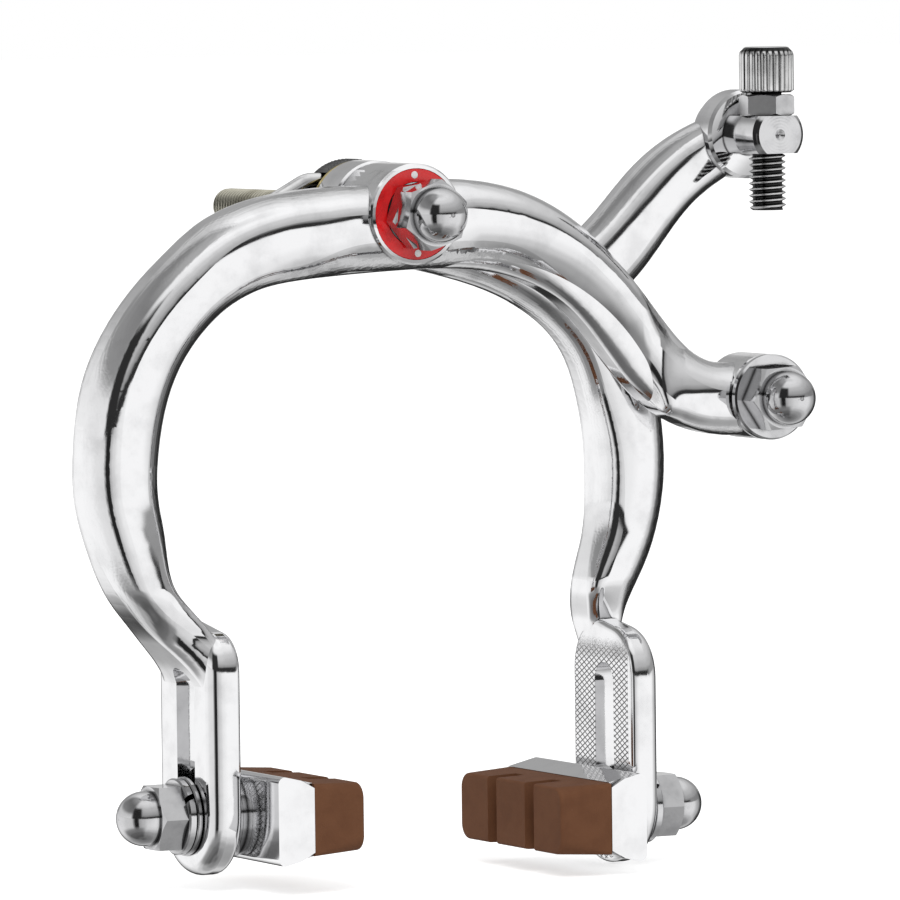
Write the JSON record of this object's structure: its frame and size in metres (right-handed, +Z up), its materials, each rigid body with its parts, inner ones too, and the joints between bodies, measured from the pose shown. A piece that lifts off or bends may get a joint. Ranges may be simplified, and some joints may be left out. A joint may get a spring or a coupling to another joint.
{
  "type": "side-pull caliper brake",
  "caption": "Side-pull bicycle caliper brake with two pivoting arms, slotted pad mounts, a barrel adjuster, a cable anchor and a threaded rear mounting stud.",
  "frame": {"origin": "pivot axis at the rear face of the spring seat, where the brake meets the frame or fork", "axes": "+Y backwards along the mounting stud, -Y towards the front, +X to the right seen from the front, +Z up"},
  "size_m": [0.1306, 0.0833, 0.1322],
  "materials": {
    "polished": "polished",
    "steel": "bright nickel plate",
    "bolt": "zinc plated thread",
    "spring": "bright wire",
    "dark_steel": "dark and rough",
    "brass": "turned",
    "red": "red enamel",
    "pad": "matt brown"
  },
  "bodies": {
    "pivot": {"pivot_bolt": "bolt", "spring_seat": "dark_steel", "return_spring": "spring", "rear_brass_washer": "brass", "arm_washer": "steel", "front_washer": "steel", "adjusting_nut": "steel", "pivot_cap_nut": "steel"},
    "front_arm": {"front_arm": "polished", "trim_ring": "red"},
    "rear_arm": {"rear_arm": "polished"},
    "cable_stop": {"cable_stop": "steel", "stop_clip": "steel"},
    "adjuster": {"adjuster_barrel": "steel"},
    "lock_nut": {"adjuster_lock_nut": "steel"},
    "cable_anchor": {"anchor_bolt": "steel", "anchor_washer": "steel", "anchor_cap_nut": "steel"},
    "left_clamp": {"left_dished_washer": "steel", "left_flat_washer": "steel", "left_spring_washer": "steel", "left_pad_cap_nut": "steel"},
    "left_pad": {"left_pad_holder": "steel", "left_pad_rubber": "pad", "left_pad_stud": "steel", "left_domed_washer": "steel"},
    "right_clamp": {"right_dished_washer": "steel", "right_flat_washer": "steel", "right_spring_washer": "steel", "right_pad_cap_nut": "steel"},
    "right_pad": {"right_pad_holder": "steel", "right_pad_rubber": "pad", "right_pad_stud": "steel", "right_domed_washer": "steel"}
  },
  "joints": [
    {"name": "front_arm_pivot", "type": "hinge", "parent": "pivot", "child": "front_arm", "pos_m": [0, 0, 0], "axis": [0, -1, 0], "range_deg": [0, 9], "stiffness_Nm_per_rad": 6, "springref_deg": -2.86, "deforming": ["return_spring"]},
    {"name": "rear_arm_pivot", "type": "hinge", "parent": "pivot", "child": "rear_arm", "pos_m": [0, 0, 0], "axis": [0, 1, 0], "range_deg": [0, 9], "stiffness_Nm_per_rad": 6, "springref_deg": -2.86, "deforming": ["return_spring"]},
    {"name": "cable_stop_swivel", "type": "hinge", "parent": "rear_arm", "child": "cable_stop", "pos_m": [0.0662, -0.0162, 0.0114], "axis": [0, -1, 0], "range_deg": [-25, 25]},
    {"name": "adjuster_travel", "type": "slide", "parent": "cable_stop", "child": "adjuster", "axis": [0, 0, 1], "range_m": [0, 0.008]},
    {"name": "lock_nut_turn", "type": "hinge", "parent": "cable_stop", "child": "lock_nut", "pos_m": [0.0662, -0.0225, 0.0161], "axis": [0, 0, 1], "continuous": true},
    {"name": "cable_anchor_swivel", "type": "hinge", "parent": "front_arm", "child": "cable_anchor", "pos_m": [0.0647, -0.0248, -0.0314], "axis": [0, -1, 0], "continuous": true},
    {"name": "left_pad_height", "type": "slide", "parent": "front_arm", "child": "left_clamp", "axis": [0, 0, 1], "range_m": [-0.0006, 0.015]},
    {"name": "left_pad_tilt", "type": "hinge", "parent": "left_clamp", "child": "left_pad", "pos_m": [-0.0345, -0.022, -0.0946], "axis": [1, 0, 0], "range_deg": [-20, 20]},
    {"name": "right_pad_height", "type": "slide", "parent": "rear_arm", "child": "right_clamp", "axis": [0, 0, 1], "range_m": [-0.0006, 0.015]},
    {"name": "right_pad_tilt", "type": "hinge", "parent": "right_clamp", "child": "right_pad", "pos_m": [0.0345, -0.022, -0.0974], "axis": [1, 0, 0], "range_deg": [-20, 20]}
  ]
}
